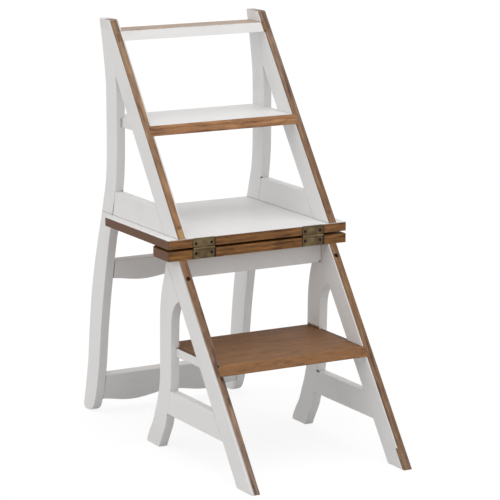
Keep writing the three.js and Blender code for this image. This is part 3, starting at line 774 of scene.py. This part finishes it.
def stringer_material(node, label, side):
    """White sides and a stained front, whose stain wraps round the front's edges."""
    name = f"{node}_finish"
    upper = node.startswith("upper")
    here, p, s = start_material(name)
    point = UPPER_FRONT if upper else LOWER_FRONT
    depth = depth_behind(here, point, FRONT_NORMAL, p.wander * EDGE_WANDER)
    unpainted = opposite(paint_lap(here, node, side))
    stain_of = upper_stringer_stain if upper else lower_stringer_stain
    stained, marks = stain_of(here, p, s, label, depth, unpainted)
    wood = grain(here, GRAIN_DOWN_SLOPE, (side * 0.13, 0.05 if upper else 0.11, 0.02))
    height = axis(here, "Z")
    low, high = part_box(node)
    foot, head = STRINGER_TINTS[node]
    fade = blend(between(height, low.z, high.z), rgba(foot), rgba(head))
    colour = blend(1.0, wood["Color"], fade, mode="MULTIPLY")
    if node == "upper_stringer_left":
        colour = shaded(colour, above(height, TOP - 0.049, 0.025), HEAD_DARKENING)
    from_middle = aside(here)
    from_outer, from_inner = minus(OUTER_X, from_middle), minus(from_middle, INNER_X)
    from_edge = all_of(from_outer, from_inner)
    colour = shaded(colour, below(from_edge, 0.002, 0.0015), EDGE_SHADE)
    paint = brushed(here, GRAIN_UPRIGHT)
    return two_finishes(name, stained, colour, wood["Height"], paint, marks)


def board_end(here, board):
    """1 on the end faces of a board."""
    return beyond(here, board[1].x - 0.0016, 0.0009)


def painted_leaf_gap_shadows(here):
    """Painted shadow on a seat board's front, just past both ends of each hinge leaf."""
    ends = []
    for leaf in ("hinge_left_upper_leaf", "hinge_right_upper_leaf"):
        low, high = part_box(leaf)
        for end, width in ((low.x - 0.0008, 0.0014), (high.x + 0.0022, 0.0038)):
            away = calc("ABSOLUTE", minus(axis(here, "X"), end))
            ends.append(below(away, 0.75 * width, 0.25 * width))
    front = below(axis(here, "Y"), FRONT_BOARD[0].y + 0.0008, 0.0004)
    return all_of(front, any_of(*ends))


def board_stain(here, move, contrast, tint, gap_shadow):
    """A seat board's stain, greyer on its ends, with painted shadow beside the hinge leaves."""
    s = settings().stain
    wood = grain(here, GRAIN_ACROSS, move, contrast, tint=tint)
    marks = [(board_end(here, SEAT), s.end_grain, 0.85), (painted_leaf_gap_shadows(here), s.pit_and_shadow, gap_shadow)]
    return marked(wood["Color"], marks), wood["Height"]


def front_seat_board_material(name):
    """Stained all over."""
    here, _, s = start_material(name)
    colour, height = board_stain(here, (0.2, 0.03, -0.4), 1.15, s.front_tint, 1.0)
    return finish_material(name, colour, s.roughness, height, WOOD_RELIEF, WOOD_SHINE)


def seat_board_material(name):
    """White on top, stained on its edges and below."""
    here, p, s = start_material(name)
    stained = opposite(under_top(here, SEAT[1].z, p.overlap, p.wander))
    colour, height = board_stain(here, (0.4, 0.02, -0.43), 1.0, s.seat_tint, 0.7)
    return two_finishes(name, stained, colour, height, brushed(here, GRAIN_ACROSS))


def shelf_material(name):
    """White, with a stained front edge."""
    here, p, s = start_material(name)
    stained = stained_face(depth_behind(here, UPPER_FRONT, FRONT_NORMAL, p.wander * EDGE_WANDER))
    wood = grain(here, GRAIN_ACROSS, (0.1, 0.1, -0.66), 0.9, tint=s.shelf_tint)
    paint = brushed(here, GRAIN_ACROSS)
    return two_finishes(name, stained, wood["Color"], wood["Height"], paint)


def tread_material(name):
    """Stain with a painted sheen on top, and white paint on the front between the frames."""
    here, p, s = start_material(name)
    x = axis(here, "X")
    top = under_top(here, TREAD[1].z, wander=p.wander)
    front = near_face(here, UPPER_FRONT, FRONT_NORMAL, p.wrap)
    _, _, lap, _ = PAINT_LAPS["upper_stringer_left"]
    left_end = below(x, -INNER_X - lap, 0.0004)
    right_end = above(x, INNER_X - 0.0006, 0.0004)
    ends = all_of(front, any_of(left_end, right_end))
    line = all_of(top, above(x, INNER_X - 0.0017, 0.0005))
    lower = mark(here, (INNER_X + 0.0025, TREAD[0].y, TREAD[0].z + 0.001), 0.0024)
    upper = mark(here, (INNER_X + 0.001, TREAD[0].y, TREAD[1].z), 0.002, UP_SLOPE)
    marks = [(line, s.pit_and_shadow, 0.55), (lower, s.pit_and_shadow, 0.85), (all_of(front, upper), s.pit_and_shadow, 0.7)]
    # Painted sheen: the tread's top grain in pale tones.
    tones = (s.painted_sheen_light, s.painted_sheen, s.painted_sheen_dark)
    painted_sheen = grain(here, GRAIN_ACROSS, (0.3, -0.2, -0.84), 0.8, tones)
    wood = grain(here, GRAIN_DOWN_SLOPE, (0.13, 0.05, 0.02))
    colour = blend(ends, painted_sheen["Color"], wood["Color"])
    paint = brushed(here, GRAIN_ACROSS, p.lightening)
    return two_finishes(name, any_of(top, ends), colour, painted_sheen["Height"], paint, marks)


def step_material(name):
    """Stained on top and in front, white at its ends and below, painted shade by the frames."""
    here, p, s = start_material(name)
    top = under_top(here, STEP[1].z, wander=p.wander)
    front = near_face(here, LOWER_FRONT, FRONT_NORMAL, 0.0008, p.wander)
    not_front = opposite(front)
    wood = grain(here, GRAIN_ACROSS, (0.3, 0.03, -0.2), 0.6, tint=s.step_tint, fine=1.5)
    colour = shaded(wood["Color"], not_front, s.top_shade)
    # Painted shade: the step is darker close to its ends, between the frames.
    at_frames = all_of(beyond(here, INNER_X - 0.002, 0.0018), not_front)
    colour = shaded(colour, at_frames, STEP_END_SHADE)
    corner = mark(here, (-STEP[1].x, LEG_AT_STEP, STEP[1].z), 0.0032)
    marks = [
        # Painted shade: its top is darkest along its ends.
        (all_of(top, board_end(here, STEP)), s.pit_and_shadow, 0.6),
        (corner, s.pit_and_shadow, 0.9),
        (step_specks(here), s.pit_and_shadow, 0.85),
    ]
    paint = brushed(here, GRAIN_ACROSS)
    return two_finishes(name, any_of(top, front), colour, wood["Height"], paint, marks)


def plug_material(name):
    """The stringers' stain, darker than on the boards."""
    here, _, s = start_material(name)
    wood = grain(here, GRAIN_DOWN_SLOPE)
    colour = shaded(wood["Color"], 1.0, PLUG_SHADE)
    return finish_material(name, colour, s.roughness, wood["Height"], WOOD_RELIEF, WOOD_SHINE)


def dowel_material(name):
    """Bare wood."""
    here, _, _ = start_material(name)
    wood = grain(here, GRAIN_ACROSS, tones=BARE_WOOD)
    finish = (BARE_WOOD_ROUGHNESS, wood["Height"], BARE_WOOD_RELIEF, PAINT_SHINE)
    return finish_material(name, wood["Color"], *finish)


def metal_material(name, metal, patina, roughness, rubbed=1.0, metallic=0.85, shine=BRASS_SHINE):
    """Aged metal, with a painted highlight on its foremost parts, the hinges' knuckles."""
    here, _, _ = start_material(name)
    aged = use_group("Patina", here, Metal=rgba(metal), Patina=rgba(patina))
    # Painted highlight on the knuckles' fronts.
    painted_knuckle_highlight = below(axis(here, "Y"), HINGE.y - 0.0015, 0.0003)
    colour = shaded(aged["Color"], painted_knuckle_highlight, rubbed)
    rough = mapped(aged["Rubbed"], roughness + 0.1, roughness - 0.08)
    finish = (rough, aged["Height"], METAL_RELIEF, shine, metallic)
    return finish_material(name, colour, *finish)


def screw_material(name, colour):
    """Dark steel that hardly shines."""
    rough = settings().metal.screw_roughness
    return metal_material(name, colour, colour, rough, metallic=0.1, shine=SCREW_SHINE)


# Pieces

# Edges that turn by more than this are sharp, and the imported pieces' edges that turn by less
# than the second angle are only seams in a flat face
SHARP_ANGLE = math.radians(35)
FLAT_ANGLE = math.radians(0.4)
# How much a large face's normal counts beside a small one's, in per cent
NORMAL_WEIGHT = 80
# How close points are merged, how close another piece has to be to count as touching, how close
# to a screw's end its head's points lie, and how exactly its slot is cut
MERGE = 0.000005
SPUN_MERGE = 0.000001
TOUCHING = 0.0007
HEAD_DEPTH = 0.00005
CUT = 1e-7
# Shares of a screw's head radius and length, and of a pin's head
SHANK_SHARE = 0.48
TAPER_START = 0.8
# Facets round a screw and round a pin
SCREW_STEPS = 24
PIN_STEPS = 20
# Degrees from one screw's slot to the next one's, so that they look like chance
SLOT_TURN = 37


def new_object(name, data):
    made = bpy.data.objects.new(name, data)
    bpy.context.scene.collection.objects.link(made)
    return made


def object_from(bm, name, material):
    mesh = bpy.data.meshes.new(name)
    bm.to_mesh(mesh)
    bm.free()
    mesh.materials.append(material)
    return new_object(name, mesh)


def stand_in(bm, node, material):
    """Puts a finished piece in a packed one's place."""
    piece = object_from(bm, f"finished_{node}", material)
    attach(piece, BODY_OF[node])
    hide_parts(node)
    return piece


def smooth_with_sharp_edges(bm):
    for face in bm.faces:
        face.smooth = True
    for edge in bm.edges:
        edge.smooth = edge.is_manifold and edge.calc_face_angle(0) < SHARP_ANGLE


def copy_of(node):
    bm = bmesh.new()
    bm.from_mesh(frame["nodes"][node].data)
    return bm


def neighbours(node, reach=0.002):
    """Search trees of the nodes whose boxes come within reach of this one's."""
    low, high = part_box(node)
    found = []
    for other in frame["nodes"]:
        other_low, other_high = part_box(other)
        apart = [max(low[i] - other_high[i], other_low[i] - high[i]) for i in range(3)]
        if other != node and max(apart) < reach:
            bm = copy_of(other)
            found.append(BVHTree.FromBMesh(bm))
            bm.free()
    return found


def rounded_copy(node, radius, touching):
    """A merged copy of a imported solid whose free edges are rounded. Edges that meet another
    piece keep their shape, so that joints stay tight."""
    bm = copy_of(node)
    bmesh.ops.remove_doubles(bm, verts=bm.verts, dist=MERGE)
    bmesh.ops.dissolve_limit(bm, angle_limit=FLAT_ANGLE, verts=bm.verts, edges=bm.edges)
    others = neighbours(node) if touching else []
    free = []
    for edge in bm.edges:
        if edge.is_manifold and edge.calc_face_angle(0) >= SHARP_ANGLE:
            middle = (edge.verts[0].co + edge.verts[1].co) / 2
            if not any(tree.find_nearest(middle, touching)[0] for tree in others):
                free.append(edge)
    bmesh.ops.bevel(
        bm,
        geom=free,
        offset=radius,
        segments=settings().shape.edge_steps,
        profile=0.5,
        affect="EDGES",
        material=-1,
    )
    smooth_with_sharp_edges(bm)
    return bm


def finish_node(node, material, radius, touching=TOUCHING):
    """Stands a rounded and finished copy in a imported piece's place."""
    piece = stand_in(rounded_copy(node, radius, touching), node, material)
    modifier = piece.modifiers.new("Even normals", "WEIGHTED_NORMAL")
    modifier.keep_sharp = True
    modifier.weight = NORMAL_WEIGHT


def paint_node(node, material):
    """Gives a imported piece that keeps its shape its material."""
    slots = frame["nodes"][node].data.materials
    slots.clear()
    slots.append(material)


def head_of(node, inward):
    """The middle of a packed screw's head, the head's radius and the screw's whole length."""
    inward = Vector(inward)
    points = points_of(node)
    reaches = [p.dot(inward) for p in points]
    head = [p for p, reach in zip(points, reaches) if reach < min(reaches) + HEAD_DEPTH]
    spread = [max(p[i] for p in head) + min(p[i] for p in head) for i in range(3)]
    middle = Vector(spread) / 2
    return middle, max((p - middle).length for p in head), max(reaches) - min(reaches)


def spun(profile, steps):
    """A closed shape turned round the Z axis from points of radius and height."""
    bm = bmesh.new()
    rim = [bm.verts.new((radius, 0, height)) for radius, height in profile]
    edges = [bm.edges.new(pair) for pair in zip(rim, rim[1:])]
    turn = {"axis": (0, 0, 1), "angle": math.tau, "steps": steps, "use_merge": True}
    bmesh.ops.spin(bm, geom=rim + edges, **turn)
    bmesh.ops.remove_doubles(bm, verts=bm.verts, dist=SPUN_MERGE)
    bmesh.ops.recalc_face_normals(bm, faces=bm.faces)
    return bm


def cut_slot(bm, width, depth, flat=0.2):
    """Sinks a straight slot into the top of a screw's head, whose faces look up by more than flat."""
    for side in (-1, 1):
        upper = [face for face in bm.faces if face.normal.z > flat]
        edges = list({edge for face in upper for edge in face.edges})
        points = list({v for face in upper for v in face.verts})
        place = {"plane_co": (side * width / 2, 0, 0), "plane_no": (1, 0, 0)}
        bmesh.ops.bisect_plane(bm, geom=upper + edges + points, dist=CUT, **place)
    strip = [
        face
        for face in bm.faces
        if face.normal.z > flat and all(abs(v.co.x) < width / 2 + SPUN_MERGE for v in face.verts)
    ]
    sunk = bmesh.ops.extrude_face_region(bm, geom=strip)["geom"]
    bmesh.ops.delete(bm, geom=[face for face in strip if face.is_valid], context="FACES_ONLY")
    low = [v for v in sunk if isinstance(v, bmesh.types.BMVert)]
    bmesh.ops.translate(bm, vec=(0, 0, -depth), verts=low)
    bmesh.ops.recalc_face_normals(bm, faces=bm.faces)


def slotted_screw(node, inward, turn, material):
    """A countersunk screw with a domed, slotted head, in the place of a packed one."""
    shape = settings().shape
    at, radius, length = head_of(node, inward)
    shank = radius * SHANK_SHARE
    profile = [
        (0, shape.dome),
        (radius * 0.4, shape.dome * 0.86),
        (radius * 0.75, shape.dome * 0.45),
        (radius * 0.96, 0),
        (radius, -0.0001),
        (shank, -(radius - shank)),
        (shank, -length * TAPER_START),
        (0, -length),
    ]
    bm = spun(profile, SCREW_STEPS)
    cut_slot(bm, shape.slot_width, shape.slot_depth)
    smooth_with_sharp_edges(bm)
    out = Vector(inward).to_track_quat("-Z", "Y").to_matrix().to_4x4()
    bm.transform(Matrix.Translation(at) @ out @ Matrix.Rotation(turn, 4, "Z"))
    stand_in(bm, node, material)


def headed_pin(node, material):
    """A hinge pin with a rounded head at each end."""
    low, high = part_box(node)
    half = (high.x - low.x) / 2
    head = (high.z - low.z) / 2
    neck = settings().shape.pin_neck
    top = settings().shape.pin_head
    end = [(head * 0.6, half - top * 0.06), (head * 0.92, half - top * 0.4)]
    end += [(head, half - top), (neck, half - top)]
    profile = [(0, half), *end, *[(radius, -height) for radius, height in reversed(end)], (0, -half)]
    bm = spun(profile, PIN_STEPS)
    smooth_with_sharp_edges(bm)
    middle = (Vector(low) + Vector(high)) / 2
    bm.transform(Matrix.Translation(middle) @ Matrix.Rotation(math.radians(90), 4, "Y"))
    stand_in(bm, node, material)


class StoolOperator:
    """What all the step stool's operators share."""

    bl_options = {"REGISTER", "UNDO"}


class STEPSTOOL_OT_patterns(StoolOperator, bpy.types.Operator):
    """Builds the grain, paint, depth, mark and patina patterns that the finishes share"""

    bl_idname = "step_stool.patterns"
    bl_label = "Patterns"

    def execute(self, context):
        build_grain_group()
        build_paint_group()
        build_depth_group()
        build_mark_group()
        build_patina_group()
        return {"FINISHED"}


class STEPSTOOL_OT_frames(StoolOperator, bpy.types.Operator):
    """Rounds and paints the posts, legs, side rails and stringers"""

    bl_idname = "step_stool.frames"
    bl_label = "Side frames"

    def execute(self, context):
        radius = settings().shape.frame_round
        upper = painted_material("upper_frame_paint", GRAIN_UPRIGHT, upper_frame_marks)
        lower = painted_material("lower_frame_paint", GRAIN_UPRIGHT, lower_frame_marks)
        paints = {"back_post": upper, "upper_side_rail": upper}
        paints |= {"base_leg": lower, "base_side_rail": lower}
        for label, side in SIDES:
            for part, paint in paints.items():
                finish_node(f"{part}_{label}", paint, radius)
            for part in ("upper_stringer", "base_stringer"):
                node = f"{part}_{label}"
                finish_node(node, stringer_material(node, label, side), radius)
        return {"FINISHED"}


class STEPSTOOL_OT_boards(StoolOperator, bpy.types.Operator):
    """Rounds and finishes the step, the two seat boards, the shelf and the tread"""

    bl_idname = "step_stool.boards"
    bl_label = "Boards"

    def execute(self, context):
        radius = settings().shape.board_round
        for node, finish in (
            ("front_seat_board", front_seat_board_material),
            ("seat_board", seat_board_material),
            ("shelf", shelf_material),
            ("top_tread", tread_material),
            ("base_step", step_material),
        ):
            finish_node(node, finish(f"{node}_finish"), radius)
        return {"FINISHED"}


class STEPSTOOL_OT_rails(StoolOperator, bpy.types.Operator):
    """Rounds and paints the apron and the two waved rails of the chair's back"""

    bl_idname = "step_stool.rails"
    bl_label = "Rails"

    def execute(self, context):
        radius = settings().shape.frame_round
        apron = painted_material("apron_paint", GRAIN_ACROSS, apron_marks)
        back = painted_material("back_rail_paint", GRAIN_ACROSS, rail_end_shadows)
        finish_node("base_apron", apron, radius)
        for node in ("back_mid_rail", "back_crest_rail"):
            finish_node(node, back, radius)
        return {"FINISHED"}


class STEPSTOOL_OT_fastenings(StoolOperator, bpy.types.Operator):
    """Builds the hinges' leaves, pins and slotted screws, and finishes the plugs and dowels"""

    bl_idname = "step_stool.fastenings"
    bl_label = "Fastenings"

    def execute(self, context):
        m = settings().metal
        brass = metal_material("aged_brass_leaf", m.brass, m.patina, m.roughness, m.rubbed)
        screws = screw_material("aged_screw_head", m.screw)
        steel = screw_material("dark_steel_screw", m.steel)
        plug = plug_material("plug_stain")
        dowels = dowel_material("bare_dowel_wood")
        for number, node in enumerate(sorted(frame["nodes"])):
            turn = math.radians(SLOT_TURN * number % 180)
            if "dowel" in node:
                paint_node(node, dowels)
            elif "plug" in node:
                paint_node(node, plug)
            elif "stringer_screw" in node:
                slotted_screw(node, FRONT_NORMAL, turn, steel)
            elif "screw" in node:
                slotted_screw(node, (0, 1, 0), turn, screws)
            elif "pin" in node:
                headed_pin(node, brass)
            elif "leaf" in node:
                finish_node(node, brass, settings().shape.leaf_round, touching=0)
        return {"FINISHED"}


# Stage

WHITE = grey(1)
SENSOR_WIDTH = 36
FAR = 200
FLOOR_SIZE = 40


def sun(name, direction, strength, spread):
    """A soft, even light that travels in a direction."""
    lamp = bpy.data.lights.new(name, "SUN")
    lamp.energy = strength
    lamp.angle = math.radians(spread)
    turn = Vector(direction).to_track_quat("-Z", "Y").to_euler()
    new_object(name, lamp).rotation_euler = turn


def empty_tree(owner):
    owner.use_nodes = True
    owner.node_tree.nodes.clear()
    return owner.node_tree


def seen_directly(tree):
    """1 for camera, glossy and transmission rays, 0 for the rays that carry light."""
    path = tree.nodes.new("ShaderNodeLightPath").outputs
    return any_of(*(path[f"Is {kind} Ray"] for kind in ("Camera", "Glossy", "Transmission")))


def lay_floor(s):
    """A floor that is matte under the light, and as seen nearly white with a soft shadow."""
    bm = bmesh.new()
    bmesh.ops.create_grid(bm, x_segments=1, y_segments=1, size=FLOOR_SIZE)
    material = bpy.data.materials.new("pale_floor")
    tree = empty_tree(material)
    matte = add("BsdfDiffuse", {"Color": rgba(s.floor)}, tree)
    glow = add("Emission", {"Color": WHITE, "Strength": s.floor_glow}, tree)
    pale = add("BsdfDiffuse", {"Color": grey(s.floor_share)}, tree)
    seen = add("AddShader", {0: glow.outputs[0], 1: pale.outputs[0]})
    inputs = {0: seen_directly(tree), 1: matte.outputs[0], 2: seen.outputs[0]}
    mixed = add("MixShader", inputs)
    add("OutputMaterial", {"Surface": mixed.outputs[0]})
    object_from(bm, "floor", material)


def light_world(s):
    """An even white world, which lights more softly than it is seen."""
    world = bpy.data.worlds.new("even_white")
    bpy.context.scene.world = world
    strength = mapped(seen_directly(empty_tree(world)), s.world, 1.0)
    sky = add("Background", {"Color": WHITE, "Strength": strength})
    add("OutputWorld", {"Surface": sky.outputs[0]})


def stand_camera(s):
    data = bpy.data.cameras.new("camera")
    data.sensor_width = SENSOR_WIDTH
    data.lens = s.lens
    data.shift_x, data.shift_y = s.shift
    data.clip_end = FAR
    camera = new_object("camera", data)
    heading = Matrix.Rotation(-s.heading, 4, "Z")
    pitch = Matrix.Rotation(math.radians(90) - s.pitch, 4, "X")
    roll = Matrix.Rotation(s.roll, 4, "Z")
    camera.matrix_world = Matrix.Translation(s.camera_place) @ heading @ pitch @ roll
    bpy.context.scene.camera = camera


class STEPSTOOL_OT_stage(StoolOperator, bpy.types.Operator):
    """Lays the floor, sets the light and stands the camera at the photograph's view"""

    bl_idname = "step_stool.stage"
    bl_label = "Stage"

    def execute(self, context):
        s = settings().stage
        lay_floor(s)
        light_world(s)
        sun("side_light", (0.85, -0.25, -0.3), s.side, 50)
        sun("top_light", (0.1, 0.15, -1), s.top, 70)
        stand_camera(s)
        context.scene.view_settings.view_transform = "Standard"
        return {"FINISHED"}


class STEPSTOOL_PT_panel(bpy.types.Panel):
    """The step stool's sidebar panel"""

    bl_idname = "STEPSTOOL_PT_panel"
    bl_label = "Step Stool"
    bl_space_type = "VIEW_3D"
    bl_region_type = "UI"
    bl_category = "Step Stool"

    def draw(self, context):
        for operator in OPERATORS:
            self.layout.operator(operator.bl_idname)
        for title in StoolSettings.__annotations__:
            group = getattr(context.scene.step_stool, title)
            box = self.layout.box()
            box.label(text=title.capitalize())
            for name in group.__annotations__:
                box.prop(group, name)


GROUPS = (StoolPaint, StoolStain, StoolMetal, StoolShape, StoolStage, StoolSettings)
OPERATORS = (
    STEPSTOOL_OT_patterns,
    STEPSTOOL_OT_frames,
    STEPSTOOL_OT_boards,
    STEPSTOOL_OT_rails,
    STEPSTOOL_OT_fastenings,
    STEPSTOOL_OT_stage,
)
CLASSES = (*GROUPS, *OPERATORS, STEPSTOOL_PT_panel)


def register():
    for cls in CLASSES:
        bpy.utils.register_class(cls)
    bpy.types.Scene.step_stool = bpy.props.PointerProperty(type=StoolSettings)


def unregister():
    del bpy.types.Scene.step_stool
    for cls in reversed(CLASSES):
        bpy.utils.unregister_class(cls)


def main():
    register()
    for operator in OPERATORS:
        name = operator.bl_idname.split(".")[1]
        if getattr(bpy.ops.step_stool, name)() != {"FINISHED"}:
            raise RuntimeError(f"the operator {name} didn't finish")


if __name__ == "__main__":
    main()
